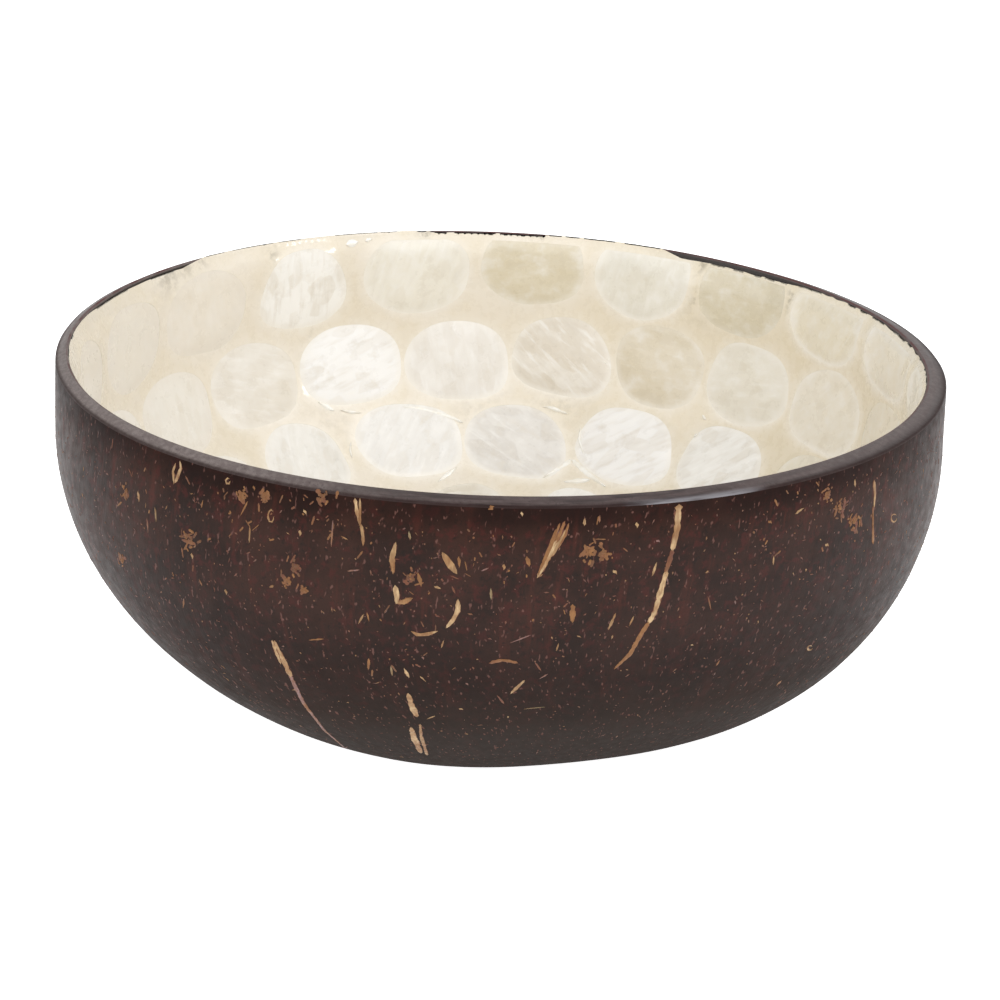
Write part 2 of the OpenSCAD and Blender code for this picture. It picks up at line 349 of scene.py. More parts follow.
# The husk fibres: tan strands of husk that stay in the grooves of the shell when it is scraped and polished,
# flush with its surface. The long ones lie where the photograph shows them, and small ones all round.
fibre_step, fibre_tip = 0.45, 0.04
shade_least, shade_most = 0.82, 1.1
stain_span, stain_gain, stain_base, stain_most = 2.5, 1.3, 0.25, 0.8
level_facing, creep_steps = 0.5, 100
fibre_section = ((1, -0.02), (0.1, 0.04), (-1, -0.02), (0, -0.18))
pointed = ((-1, 0.1), (0.2, 1), (1, 0.1))
blunt = ((-1, 0.5), (-0.6, 0.9), (-0.1, 0.8), (0.5, 1), (1, 0.4))
sight = BVHTree.FromPolygons([tuple(p) for p in shell_points], shell_faces)


def seen_at(across, down):
    """The place on the shell that the camera sees at or just inside a pixel, and the way it faces."""
    place = None
    while place is None:
        place, facing, _, _ = sight.ray_cast(view_from / MM, line_of_sight(across, down))
        across += (picture_width / 2 - across) / creep_steps
        down += (picture_width / 2 - down) / creep_steps
    return place, facing


def beside_nut(turn, height):
    """The place on the outside of the shell at a bearing and a height, and the way it faces."""
    out = Vector((math.cos(turn), math.sin(turn), 0))
    place, facing, _, _ = sight.ray_cast(out * 2 * belly_r + Vector((0, 0, height)), -out)
    return place, facing


class Strands:
    """Closed slivers of one cross-section in one mesh, each of its own colour and stained in places."""

    def __init__(self, seed, section, stain):
        self.points, self.faces, self.colours = [], [], []
        self.chance = random.Random(seed)
        self.section, self.stain = section, stain

    def lay(self, stations, widths, colour, over=0.0):
        """A sliver through stations on the surface, with a width at each, raised over what lies there."""
        start, corners = len(self.points), len(self.section)
        for i, ((place, facing), width) in enumerate(zip(stations, widths)):
            before, after = stations[max(i - 1, 0)][0], stations[min(i + 1, len(stations) - 1)][0]
            side = facing.cross(after - before).normalized() * width / 2
            shade = self.chance.uniform(shade_least, shade_most)
            stain = stain_gain * noise.noise(place / stain_span) + stain_base
            share = min(stain_most, max(0, stain))
            mixed = [shade * (c + share * (s - c)) for c, s in zip(colour[:3], self.stain)]
            self.points += [place + side * across + facing * (lift + over) for across, lift in self.section]
            self.colours += [tuple(min(1, c) for c in mixed) + (1,)] * corners
        for here in range(start, len(self.points) - corners, corners):
            for corner in range(corners):
                beside = here + (corner + 1) % corners
                self.faces.append((here + corner, here + corner + corners, beside + corners, beside))
        self.faces.append(tuple(range(start, start + corners)))
        self.faces.append(tuple(range(len(self.points) - corners, len(self.points)))[::-1])

    def follow(self, route, widths, colour, ragged=0.3, locate=seen_at, over=0.0):
        """A strand along a route of places, with widths in millimetres spread evenly along it."""
        route = np.array(route, dtype=float)
        found = [locate(*p)[0] for p in route]
        lengths = [0.0]
        for a, b in zip(found, found[1:]):
            lengths.append(lengths[-1] + (b - a).length)
        steps = max(3, int(lengths[-1] / fibre_step))
        spread = np.linspace(0, lengths[-1], steps + 1)
        stations = [locate(*(np.interp(s, lengths, route[:, k]) for k in (0, 1))) for s in spread]
        wide = np.interp(spread, np.linspace(0, lengths[-1], len(widths)), widths)
        wide *= [self.chance.uniform(1 - ragged, 1 + ragged) for _ in spread]
        wide[0] = wide[-1] = fibre_tip
        self.lay(stations, wide, colour, over)

    def fleck(self, middle, length, width, lean, colour, locate=beside_nut, shape=pointed, over=0.0):
        """A short mark at one place, unless that is on the saw cut. Its length leans from the upright."""
        place, facing = locate(*middle)
        if facing.z > level_facing:
            return
        upward = (Vector((0, 0, 1)) - facing * facing.z).normalized()
        along = (upward * math.cos(lean) + facing.cross(upward) * math.sin(lean)) * length / 2
        stations = [(place + along * share, facing) for share, _ in shape]
        self.lay(stations, [width * wide for _, wide in shape], colour, over)

    def piece(self, name, material):
        made = make_piece(name, self.points, self.faces, material)
        note(made, "tint", self.colours)
        return made


def husk_fibre():
    """Dry husk fibre, polished level with the shell: tan strands with brown lines between them."""
    finish = Finish("husk_fibre", specular_ior_level=0.25)
    tint = finish.kept("tint", "Color")
    upright = finish.stretch(finish.position(), (2.6, 2.6, 0.7))
    threads = finish.span(finish.cloud(upright, 1, 3), 0.36, 0.62)
    finish.drive("Base Color", finish.mix(finish.times(threads, 0.45), tint, tone(104, 66, 40)))
    finish.drive("Roughness", finish.span(threads, 0, 1, 0.45, 0.62))
    finish.drive("Normal", finish.relief(threads, 0.05, 0.5))
    return finish.material


tan, pale_tan, golden, rust = tone(156, 127, 90), tone(178, 150, 112), tone(126, 86, 48), tone(96, 55, 41)
pink, moss, amber = tone(118, 88, 84), tone(124, 112, 82), tone(92, 61, 40)
long_strands = [
    ([(679, 504), (677, 530), (672, 551)], (1.2, 1.0, 0.9), pale_tan),
    ([(673, 549), (669, 562), (665, 574)], (0.7, 0.8, 0.5), rust),
    ([(667, 570), (661, 590), (655, 612), (648, 624)], (0.8, 1.1, 0.8, 0.9), pale_tan),
    ([(649, 622), (641, 634), (630, 654), (614, 669)], (0.8, 0.8, 0.7, 0.4), golden),
    ([(565, 521), (559, 536), (552, 550)], (0.3, 0.5, 0.5), golden),
    ([(557, 540), (550, 554), (537, 578)], (0.6, 1.0, 0.9, 0.3), pale_tan),
    ([(560, 523), (555, 537), (547, 556), (538, 575)], (0.3, 0.5, 0.8, 0.4), golden),
    ([(566, 529), (560, 542), (551, 557)], (0.3, 0.6, 0.5), tan),
    ([(569, 523), (565, 535), (557, 549)], (0.3, 0.5, 0.2), golden),
    ([(556, 529), (550, 546), (542, 564)], (0.2, 0.4, 0.3), golden),
    ([(458, 599), (458, 610), (453, 620), (446, 628)], (0.5, 0.9, 0.8, 0.4), pale_tan),
    ([(438, 631), (428, 634), (418, 635), (411, 631)], (0.3, 0.7, 0.7, 0.3), tan),
    ([(272, 640), (276, 652), (281, 664)], (0.4, 0.6, 0.5), pale_tan),
    ([(274, 640), (281, 655), (287, 668), (291, 677)], (0.3, 0.7, 1.1, 0.8), pale_tan),
    ([(290, 675), (296, 688), (304, 704), (324, 730), (346, 749)], (0.7, 0.7, 0.5, 0.4, 0.3), pink),
    ([(408, 693), (411, 704), (417, 717)], (0.6, 1.2, 0.8), pale_tan),
    ([(411, 727), (414, 738), (421, 753)], (0.7, 1.1, 0.7), pale_tan),
    ([(420, 724), (421, 736), (427, 755)], (0.3, 0.6, 0.4), tan),
    ([(396, 542), (392, 558), (393, 574)], (0.5, 1.0, 0.3), tan),
    ([(395, 585), (397, 597), (396, 604)], (0.6, 1.0, 0.6), pale_tan),
    ([(396, 603), (404, 602), (413, 598)], (0.4, 0.9, 0.5), tan),
    ([(355, 498), (357, 512), (359, 524)], (0.5, 0.6, 0.2), pale_tan),
    ([(360, 498), (360, 512), (360, 526)], (0.3, 0.4, 0.2), tan),
    ([(361, 524), (363, 536), (363, 546)], (0.6, 0.7, 0.3), tan),
    ([(180, 461), (181, 468), (175, 483)], (0.4, 0.6, 0.5), pale_tan),
    ([(176, 463), (173, 471), (174, 484)], (0.3, 0.5, 0.3), tan),
    ([(874, 480), (875, 494), (874, 507)], (0.6, 0.6, 0.3), tan),
    ([(873, 506), (873, 518), (873, 544)], (0.2, 0.3, 0.7), golden),
    ([(442, 552), (449, 563), (457, 574)], (0.6, 1.2, 0.6), tan),
    ([(489, 663), (503, 660), (518, 663)], (0.6, 0.7, 0.5), rust),
]
dashes_seen = [
    (138, 491, 139, 502, 0.7, tan), (155, 507, 156, 522, 0.6, moss), (147, 518, 148, 533, 0.4, pink),
    (248, 501, 240, 516, 0.4, golden), (250, 526, 249, 543, 0.5, tan), (333, 520, 331, 547, 0.4, pink),
    (269, 587, 274, 586, 0.5, moss), (309, 640, 324, 639, 0.4, golden), (184, 598, 183, 608, 0.4, pink),
    (199, 579, 202, 586, 0.4, pink), (203, 500, 201, 508, 0.4, golden), (418, 572, 421, 587, 0.9, golden),
    (459, 556, 459, 568, 0.7, golden), (434, 586, 441, 589, 0.7, tan), (527, 556, 529, 567, 1.0, golden),
    (573, 604, 572, 623, 1.2, golden), (616, 613, 608, 630, 0.6, tan), (525, 680, 510, 694, 0.8, tan),
    (497, 695, 504, 704, 0.5, rust), (369, 658, 368, 670, 0.6, golden), (391, 666, 392, 676, 0.5, moss),
    (404, 668, 409, 678, 0.8, pale_tan), (427, 719, 435, 716, 0.5, tan), (481, 571, 489, 568, 0.5, pink),
    (491, 588, 491, 600, 0.5, moss), (409, 531, 410, 540, 0.5, moss), (535, 662, 541, 671, 0.4, rust),
    (539, 679, 548, 674, 0.4, pink), (524, 709, 545, 707, 0.3, moss), (510, 643, 531, 635, 0.3, pink),
    (795, 514, 804, 508, 0.7, tan), (774, 556, 773, 565, 0.5, tan), (657, 562, 652, 576, 0.5, tan),
    (634, 616, 629, 626, 0.5, tan), (855, 479, 855, 487, 0.6, tan), (716, 666, 720, 660, 0.5, rust),
    (452, 586, 455, 594, 0.5, rust), (268, 492, 262, 503, 0.8, rust), (708, 596, 711, 610, 0.3, rust),
    (347, 571, 360, 570, 0.4, pink), (358, 624, 364, 614, 0.4, tan), (367, 612, 369, 622, 0.4, golden),
    (420, 676, 426, 682, 0.4, tan), (444, 640, 441, 648, 0.4, tan), (559, 643, 556, 651, 0.4, moss),
    (585, 518, 584, 526, 0.6, tan), (600, 515, 599, 523, 0.4, pink), (341, 536, 348, 540, 0.4, tan),
]
dots_seen = [
    (305, 512, 0.8, tan), (300, 533, 0.9, pale_tan), (254, 488, 0.7, golden), (226, 592, 0.9, moss),
    (330, 711, 0.6, pink), (504, 567, 0.9, pale_tan), (615, 572, 0.9, tan), (770, 522, 0.8, golden),
    (827, 545, 0.9, tan), (806, 570, 0.5, pale_tan), (763, 546, 0.5, pink), (692, 645, 0.5, pale_tan),
    (192, 556, 0.9, pale_tan), (637, 525, 0.9, tan), (522, 514, 0.7, pale_tan), (491, 508, 0.9, golden),
    (423, 658, 0.6, pink), (467, 684, 0.6, pink), (461, 709, 0.7, tan), (508, 717, 0.5, tan),
    (779, 683, 1.2, golden), (707, 572, 0.6, tan), (658, 541, 0.7, pink), (221, 459, 0.5, pale_tan),
]
golden_patches = [
    (187, 540, 2.6, 0.3), (590, 552, 2.2, 0.5), (603, 553, 1.6, 0.1), (855, 523, 2.2, 0.6),
    (841, 509, 1.8, 0.3), (827, 496, 1.5, 0.3), (125, 493, 1.6, 0.3), (122, 558, 1.4, 0.3),
    (322, 498, 1.6, 0.4), (287, 582, 1.4, 0.3), (295, 568, 1.4, 0.0), (304, 590, 1.0, 0.0),
    (410, 578, 1.2, 0.1), (242, 495, 1.5, 0.0), (265, 497, 1.4, 0.0),
]
amber_spread = [
    (125, 490), (150, 505), (215, 490), (245, 515), (300, 510), (280, 482), (330, 500), (190, 555),
    (290, 575), (395, 595), (430, 565), (470, 560), (420, 625), (400, 665), (510, 560), (560, 600),
    (830, 500), (860, 530), (800, 515), (760, 540), (600, 545), (250, 545), (345, 530),
]
rings_seen = [(228, 481, 2.5, 3), (271, 516, 3, 6.5), (894, 518, 3, 4), (810, 648, 2.5, 2.5)]
strand_share, groove, proud, patch_proud = 0.8, 0.3, 0.04, 0.03
dot_lean, patch_lean, fleck_lean = 0.6, 0.9, 0.7
patch_base, base_wide, base_high, base_sizes = 5, 1.5, 2.0, (0.5, 0.9)
patch_flecks, patch_wide, patch_high, patch_sizes = 13, 1.6, 2.1, (0.2, 0.5)
spread_flecks, spread_reach, spread_widths = 6, 15, (0.2, 0.5)
ring_arc, ring_points = 5.6, 9
unseen_turns = (math.radians(10), math.radians(170))
unseen_strands, strand_tops, strand_drops = 16, (18, 50), (5, 24)
strand_drift, strand_widths = 0.12, (0.5, 1.3)
unseen_flecks, fleck_heights, fleck_lengths, fleck_widths = 60, (6, 51), (1, 3), (0.4, 0.9)
unseen_patches, unseen_patch_flecks, patch_heights = 16, 14, (22, 50)

strands = Strands(seed=41, section=fibre_section, stain=golden)
chance = strands.chance
for route, widths, colour in long_strands:
    strands.follow(route, [strand_share * width + groove for width in widths], rust)
    strands.follow(route, [strand_share * width for width in widths], colour, over=proud)
for left, top, right, bottom, width, colour in dashes_seen:
    strands.follow([(left, top), (right, bottom)], (0.5 * width, width, 0.6 * width), colour)
for across, down, size, colour in dots_seen:
    strands.fleck((across, down), size, 0.8 * size, chance.gauss(0, dot_lean), colour, locate=seen_at)
for across, down, size, golden_share in golden_patches:
    for _ in range(patch_base):
        middle = (across + chance.gauss(0, base_wide * size), down + chance.gauss(0, base_high * size))
        strands.fleck(middle, chance.uniform(*base_sizes) * size, chance.uniform(*base_sizes),
                      chance.gauss(0, patch_lean), rust, locate=seen_at, shape=blunt)
    for _ in range(patch_flecks):
        middle = (across + chance.gauss(0, patch_wide * size), down + chance.gauss(0, patch_high * size))
        colour = golden if chance.random() < golden_share else amber
        strands.fleck(middle, chance.uniform(*patch_sizes) * size, chance.uniform(*patch_sizes),
                      chance.gauss(0, patch_lean), colour, locate=seen_at, shape=blunt, over=patch_proud)
for across, down in amber_spread:
    for _ in range(spread_flecks):
        middle = (across + chance.gauss(0, spread_reach), down + chance.gauss(0, spread_reach))
        length = 0.3 + 1.2 * chance.random() ** 2
        strands.fleck(middle, length, chance.uniform(*spread_widths), chance.gauss(0, fleck_lean),
                      chance.choice((amber, amber, rust, rust, golden)), locate=seen_at, shape=blunt)
for across, down, wide, high in rings_seen:
    angles = np.linspace(0, ring_arc, ring_points)
    route = [(across + wide * math.cos(a), down + high * math.sin(a)) for a in angles]
    strands.follow(route, (0.3, 0.4, 0.3), tan)
for _ in range(unseen_strands):
    turn = chance.uniform(*unseen_turns)
    high = chance.uniform(*strand_tops)
    drop = chance.uniform(*strand_drops)
    drift = chance.uniform(-strand_drift, strand_drift)
    route = [(turn + drift * s * s, max(2, high - drop * s)) for s in (0, 0.25, 0.5, 0.75, 1)]
    broad = chance.uniform(*strand_widths)
    under = (0.7 * broad, 1.3 * broad, broad, 1.1 * broad, 0.4)
    strands.follow(route, under, rust, locate=beside_nut)
    above = (0.4 * broad, broad, 0.7 * broad, 0.8 * broad, 0.2)
    strands.follow(route, above, pale_tan, locate=beside_nut, over=proud)
for _ in range(unseen_flecks):
    middle = (chance.uniform(*unseen_turns), chance.uniform(*fleck_heights))
    strands.fleck(middle, chance.uniform(*fleck_lengths), chance.uniform(*fleck_widths),
                  chance.gauss(0, fleck_lean), chance.choice((golden, tan, moss, rust, pink)))
for _ in range(unseen_patches):
    turn, high = chance.uniform(*unseen_turns), chance.uniform(*patch_heights)
    for _ in range(unseen_patch_flecks):
        middle = (turn + chance.gauss(0, 0.03), high + chance.gauss(0, 1.6))
        strands.fleck(middle, chance.uniform(0.4, 1.3), chance.uniform(0.25, 0.6),
                      chance.gauss(0, fleck_lean), chance.choice((golden, amber, rust, tan)), shape=blunt)
fibres = strands.piece("husk_fibres", husk_fibre())
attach(fibres, "root")

speck_count, speck_low, speck_reach = 2200, 2, rim_h - 6
speck_least, speck_longer, speck_widths = 0.24, 0.6, (0.18, 0.42)
speck_tones = [tone(112, 80, 64), tone(98, 68, 62), tone(138, 106, 72), tone(86, 48, 42), tone(102, 78, 74)]
specks = Strands(seed=7, section=fibre_section, stain=rust)
chance = specks.chance
for _ in range(speck_count):
    turn = chance.uniform(0, 2 * math.pi)
    high = speck_low + speck_reach * chance.random() ** 0.5
    length = speck_least + speck_longer * chance.random() ** 3
    specks.fleck((turn, high), length, chance.uniform(*speck_widths), chance.gauss(0, patch_lean),
                 chance.choice(speck_tones))
flecks = specks.piece("husk_flecks", fibres.data.materials[0])
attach(flecks, "root")


# The lacquer bed: cream lacquer putty spread over the whole hollow, in which the chips are pressed while it
# is soft. It swells a little round each chip, and its upper edge is cut off ragged along the rim.
bed_t, bed_bevel = 1.6, 0.5
bed_r, bed_floor = hollow_r - bed_t, floor_t + bed_t
face_top = bed_top - bed_bevel
chip_r, chip_t, chip_gap, row_space, chip_space = 6.8, 0.8, 0.1, 0.3, 1.6
rim_row_drop, trim_margin, row_lean, chip_crowding = 5.5, 0.2, 3, math.radians(3)
row_pitch = 2 * (chip_r + chip_gap) + row_space
floor_pitch = row_pitch * (1 + oval / belly_r + ridge_at_base / base_r)
row_counts = (20, 20, 17, 15, 9, 3)
row_turns = (11.5, 5, 20.5, 0, 0, 0)
row_names = ("rim_chip", "middle_chip", "lower_chip", "floor_chips", "floor_chips", "floor_chips")
first_floor_row = 3
outline_steps = 48
squareness, chip_fit, taper_spread = 2.35, 0.975, 0.05
wave_least, wave_most, wave_start_most = 0.006, 0.018, 6.3
fuller = (1, 1.1, 1.06, 1, 1, 1)
veils, veil_starts, veil_ends = (0.65, 0.45, 0.25, 0, 0, 0), (2.0, 2.6), (3.2, 3.8)

# Chips that differ from their row, by row and number: tapered, faint under the lacquer, of another width, or
# set off sideways and upwards.
bell_shaped = {(0, 6): 0.20}
faint = {(0, 2): 0.75, (0, 4): 0.4, (1, 0): 0.9, (1, 3): 0.3, (2, 0): 0.95}
cut_width = {(0, 6): 0.86, (2, 2): 1.1, (2, 5): 0.82}
set_off = {(0, 4): (0, 1), (1, 5): (0, -1), (2, 3): (1, -1)}
bead_high, bead_wide, halo_wide, halo_all, halo_below = 0.08, 0.7, 1.3, 0.7, 0.3
ripple_high, ripple_span = 0.05, 5.5
film_t, film_high, bed_spacing = 0.04, 0.3, 1.7
clear_of_edges, edge_slack, merge_within = 0.2, 0.02, 1e-5
edge_borders, chip_borders, first_flare_border = (0.35, 0.8, 1.4), (0.25, 0.6), 7
flare_high, flare_steps, rise_steps = 5, 13, 300
pocket_room, behind, back_drop, back_follow = 0.06, 0.02, 0.1, 1.6

bed_rise = wall_curve(bed_r, belly_h - bed_floor, inside_fullness, 0, rise_steps)
flare = np.linspace(0, 1, flare_steps)
lap = np.array([(hollow_r, bed_top, -hollow_shift)] + inner_edge[::-1] + cut_middle + outer_edge[:0:-1])
meridian_r = np.concatenate([bed_rise[0], bed_r + bed_t * flare ** 2, lap[1:, 0]])
meridian_h = np.concatenate([bed_rise[1], bed_top + flare_high * (flare - 1), lap[1:, 1]])
meridian_shift = np.concatenate([np.full(len(meridian_r) - len(lap) + 1, -hollow_shift), lap[1:, 2]])
meridian_run = np.concatenate([[0], np.cumsum(np.hypot(np.diff(meridian_r), np.diff(meridian_h)))])
face_run = meridian_run[len(bed_rise[0]) - 1] + face_top - belly_h
bed_run = meridian_run[len(bed_rise[0]) + len(flare) - 1]


def bed_radius(run):
    return np.interp(run, meridian_run, meridian_r)


def on_bed(turn, run):
    """Points on the face of the bed, at a bearing and a length of run from the middle of the floor."""
    return on_nut(turn, bed_radius(run), np.interp(run, meridian_run, meridian_h),
                  np.interp(run, meridian_run, meridian_shift))


def bed_facing(turn, run):
    """The way that the face of the bed looks, into the bowl."""
    near = 0.05
    along = on_bed(turn + near / np.maximum(bed_radius(run), 1), run) - on_bed(turn, run)
    up = on_bed(turn, run + near) - on_bed(turn, run)
    facing = np.cross(up, along)
    return facing / np.linalg.norm(facing, axis=-1, keepdims=True)


def eased(value, low, high):
    """Goes smoothly from nothing to one between two values."""
    share = np.clip((value - low) / (high - low), 0, 1)
    return share * share * (3 - 2 * share)


class Seat:
    """The place of one chip in the bed, and its uneven outline, which is wider than high on the wall."""

    def __init__(self, row, number):
        self.row, self.number = row, number
        self.chance = np.random.default_rng(100 * row + number)
        count = row_counts[row]
        crowding = chip_crowding if row in (1, 2) else 0
        even = math.radians(row_turns[row]) + 2 * math.pi * number / count
        self.turn = even + crowding * math.cos(even)
        level = face_run - rim_row_drop - min(row, first_floor_row - 1) * row_pitch
        level -= max(0, row - first_floor_row + 1) * floor_pitch
        self.run = level + row_lean * math.cos(self.turn)
        aside, raised = set_off.get((row, number), (0, 0))
        self.turn += aside / bed_radius(self.run)
        self.run += raised
        room = 2 * math.pi * bed_radius(level - row_lean) / count * (1 - crowding) - chip_space
        row_wide = room / 2 / chip_r if row < first_floor_row else 1
        self.wide = row_wide * fuller[row] * cut_width.get((row, number), 1)
        self.out = np.array([math.cos(self.turn), math.sin(self.turn)])
        self.side = np.array([-self.out[1], self.out[0]])
        heights = self.chance.uniform(wave_least, wave_most, 3)
        self.waves = list(zip((2, 3, 5), heights, self.chance.uniform(0, wave_start_most, 3)))
        self.taper = bell_shaped.get((row, number), self.chance.normal(0, taper_spread))
        self.cut = face_run - trim_margin - self.run if row == 0 else 2 * chip_r
        self.veil = veils[row] * eased(self.turn, *veil_starts) * (1 - eased(self.turn, *veil_ends))
        self.clear = 1 - max(self.veil, faint.get((row, number), 0))

    def reach(self, angle):
        across, up = np.abs(np.cos(angle)), np.abs(np.sin(angle))
        square = (across ** squareness + up ** squareness) ** (-1 / squareness)
        waves = sum(high * np.sin(count * angle + start) for count, high, start in self.waves)
        return chip_fit * chip_r * square * (1 + waves)

    def breadth(self, up):
        """How much wider than high the chip is, at a height above its middle."""
        return self.wide * (1 - self.taper * np.clip(up / chip_r, -1, 1))

    def spread(self, across, up):
        """Bearing and run of a place that lies across and up from the middle of the chip."""
        if self.row < first_floor_row:
            run = self.run + up
            return self.turn + across / bed_radius(run), run
        flat = self.out * self.run + np.multiply.outer(across, self.side) + np.multiply.outer(up, self.out)
        return np.arctan2(flat[..., 1], flat[..., 0]), np.hypot(flat[..., 0], flat[..., 1])

    def place(self, turn, run):
        """How far across and up from the middle of the chip a place lies."""
        if self.row < first_floor_row:
            across = ((turn - self.turn + math.pi) % (2 * math.pi) - math.pi) * bed_radius(run)
            return across, run - self.run
        flat = np.stack([run * np.cos(turn), run * np.sin(turn)], axis=-1) - self.out * self.run
        return flat @ self.side, flat @ self.out

    def gap(self, turn, run):
        """How far places lie outside the chip's outline."""
        across, up = self.place(turn, run)
        across = across / self.breadth(up)
        return np.maximum(np.hypot(across, up) - self.reach(np.arctan2(up, across)), up - self.cut)

    def outline(self, beyond=0.0):
        angle = bearings(outline_steps)
        reach = self.reach(angle) + beyond
        up = np.minimum(reach * np.sin(angle), self.cut + beyond)
        return self.spread(self.breadth(up) * reach * np.cos(angle), up)


# How far the lacquer laps over the edge of the rim, at bearings in degrees: a little at the back, and short
# of the edge where the rim shows dark. It is rougher in two stretches, with a middle, a width and a depth.
lap_turns = (0, 30, 37, 41, 60, 64, 80, 84, 98, 102, 136, 141, 162, 168, 200, 360)
lap_widths = (0.1, 0.1, -0.1, -0.45, -0.45, 0.5, 0.5, 0.2, 0.2, 0.6, 0.6, -0.25, -0.2, 0.1, 0.1, 0.1)
rough_all, rough_stretches, tooth_count = 0.12, ((0.25, 0.4, 0.5), (0.95, 0.25, 0.2)), 20
edge_steps = 720
edge_turn = bearings(edge_steps)
teeth = np.array([abs(noise.noise(Vector((tooth_count * math.cos(t), tooth_count * math.sin(t), 3.1))))
                  for t in edge_turn])
roughness = np.full(edge_steps, rough_all)
for middle, width, depth in rough_stretches:
    roughness += depth * np.exp(-((edge_turn - middle) / width) ** 2)
edge_run = bed_run + np.interp(np.degrees(edge_turn), lap_turns, lap_widths) - roughness * teeth


def edge_at(turn):
    """The run at which the lacquer ends, at a bearing."""
    whole_turn = 2 * math.pi
    return np.interp(turn % whole_turn, np.append(edge_turn, whole_turn), np.append(edge_run, edge_run[0]))


seats = [Seat(row, number) for row, count in enumerate(row_counts) for number in range(count)]
outlines = [seat.outline() for seat in seats]
loop_turn = np.concatenate([edge_turn] + [turn for turn, run in outlines])
loop_run = np.concatenate([edge_run] + [run for turn, run in outlines])
loops = [np.arange(edge_steps)]
loops += [edge_steps + outline_steps * k + np.arange(outline_steps) for k in range(len(seats))]

grid = np.arange(-bed_run, bed_run, bed_spacing)
grid_x, grid_y = np.meshgrid(grid, grid * math.sqrt(3) / 2)
grid_x = grid_x + bed_spacing / 2 * (np.arange(len(grid)) % 2)[:, None]
near_edge = [(edge_turn[::2], edge_run[::2] - depth) for depth in edge_borders]
flare_runs = meridian_run[len(bed_rise[0]) + first_flare_border::2]
near_edge += [(edge_turn, np.full(edge_steps, run)) for run in flare_runs]
around = [seat.outline(beyond) for seat in seats for beyond in chip_borders]
free_turn = np.concatenate([np.arctan2(grid_y, grid_x).ravel()] + [t for t, r in near_edge + around])
free_run = np.concatenate([np.hypot(grid_x, grid_y).ravel()] + [r for t, r in near_edge + around])
off_chips = np.full(len(free_turn), np.inf)
for seat in seats:
    off_chips = np.minimum(off_chips, seat.gap(free_turn, free_run))
free = (off_chips > clear_of_edges) & (free_run < edge_at(free_turn) - clear_of_edges)
all_turn = np.concatenate([loop_turn, free_turn[free]])
all_run = np.concatenate([loop_run, free_run[free]])
flat = [Vector((r * math.cos(t), r * math.sin(t))) for t, r in zip(all_turn, all_run)]
fences = [(int(a), int(b)) for loop in loops for a, b in zip(loop, np.roll(loop, -1))]
flat_points, _, bed_faces, came_from, _, _ = geometry.delaunay_2d_cdt(flat, fences, [], 0, merge_within)

bed_turn = np.array([math.atan2(p.y, p.x) for p in flat_points])
bed_place = np.array([p.length for p in flat_points])
belongs = np.full(len(flat_points), -1)
index_of = np.zeros(len(flat), dtype=int)
for made, sources in enumerate(came_from):
    for source in sources:
        index_of[source] = made
for k in range(len(seats)):
    belongs[index_of[loops[k + 1]]] = k
on_edge = np.zeros(len(flat_points), dtype=bool)
on_edge[index_of[loops[0]]] = True


def is_bed(face):
    """True of a triangle of lacquer: not one inside a chip, nor one outside the ragged edge."""
    first = belongs[face[0]]
    if first >= 0 and all(belongs[i] == first for i in face):
        return False
    if not all(on_edge[i] for i in face):
        return True
    middle = sum((flat_points[i] for i in face), Vector((0, 0))) / 3
    return middle.length < edge_at(math.atan2(middle.y, middle.x)) + edge_slack


bed_faces = [tuple(face) for face in bed_faces if is_bed(face)]
to_chip = np.full(len(flat_points), np.inf)
below, clear = np.zeros(len(flat_points)), np.zeros(len(flat_points))
for seat in seats:
    across, up = seat.place(bed_turn, bed_place)
    away = np.maximum(0, seat.gap(bed_turn, bed_place))
    below = np.where(away < to_chip, -up / np.maximum(np.hypot(across / seat.wide, up), 0.01), below)
    clear = np.where(away < to_chip, seat.clear, clear)
    to_chip = np.minimum(to_chip, away)
facing = bed_facing(bed_turn, bed_place)
level = on_bed(bed_turn, bed_place)
ripple = np.array([noise.noise(Vector(p) / ripple_span) for p in level])
rise = bead_high * np.exp(-(to_chip / bead_wide) ** 2) + ripple_high * ripple
rise = np.where(bed_place > bed_run - film_high, film_t, rise)
bed_points = level + facing * rise[:, None]

chip_loops = []
points, faces = [tuple(p) for p in bed_points], list(bed_faces)
for loop, seat in zip(loops[1:], seats):
    ids = index_of[loop]
    brim = bed_points[ids]
    middle = brim.mean(axis=0)
    square = np.linalg.svd(brim - middle)[2][2]
    square = square * np.sign(square @ facing[ids].mean(axis=0))
    chip_loops.append((seat, brim, middle, square))
    low = len(points)
    points += [tuple(p - square * (chip_t + pocket_room)) for p in brim]
    for i in range(outline_steps):
        j = (i + 1) % outline_steps
        faces.append((ids[i], ids[j], low + j, low + i))
    faces.append(tuple(low + i for i in range(outline_steps)))

edge_ids = index_of[loops[0]]
back_heights = (bed_top - back_drop, bed_top - 2, belly_h + 4)
back_rings = [(hollow_r - behind, h) for h in back_heights]
back_rings += [(r - behind, h) for r, h in zip(*hollow_curve)][::-1]
back_start = len(points)
short_of_rim = np.maximum(0, bed_run - edge_run)
for radius, height in back_rings:
    lowered = np.minimum(height, bed_top - back_drop - back_follow * short_of_rim)
    points += [tuple(p) for p in on_nut(edge_turn, radius, lowered, -hollow_shift)]
for i in range(edge_steps):
    j = (i + 1) % edge_steps
    faces.append((edge_ids[j], edge_ids[i], back_start + i, back_start + j))
faces += [tuple(back_start + i for i in quad[::-1]) for quad in ring_faces(len(back_rings), edge_steps)]
last_ring = len(points) - edge_steps
faces.append(tuple(last_ring + i for i in range(edge_steps)))
halo_tone = tone(248, 243, 233)


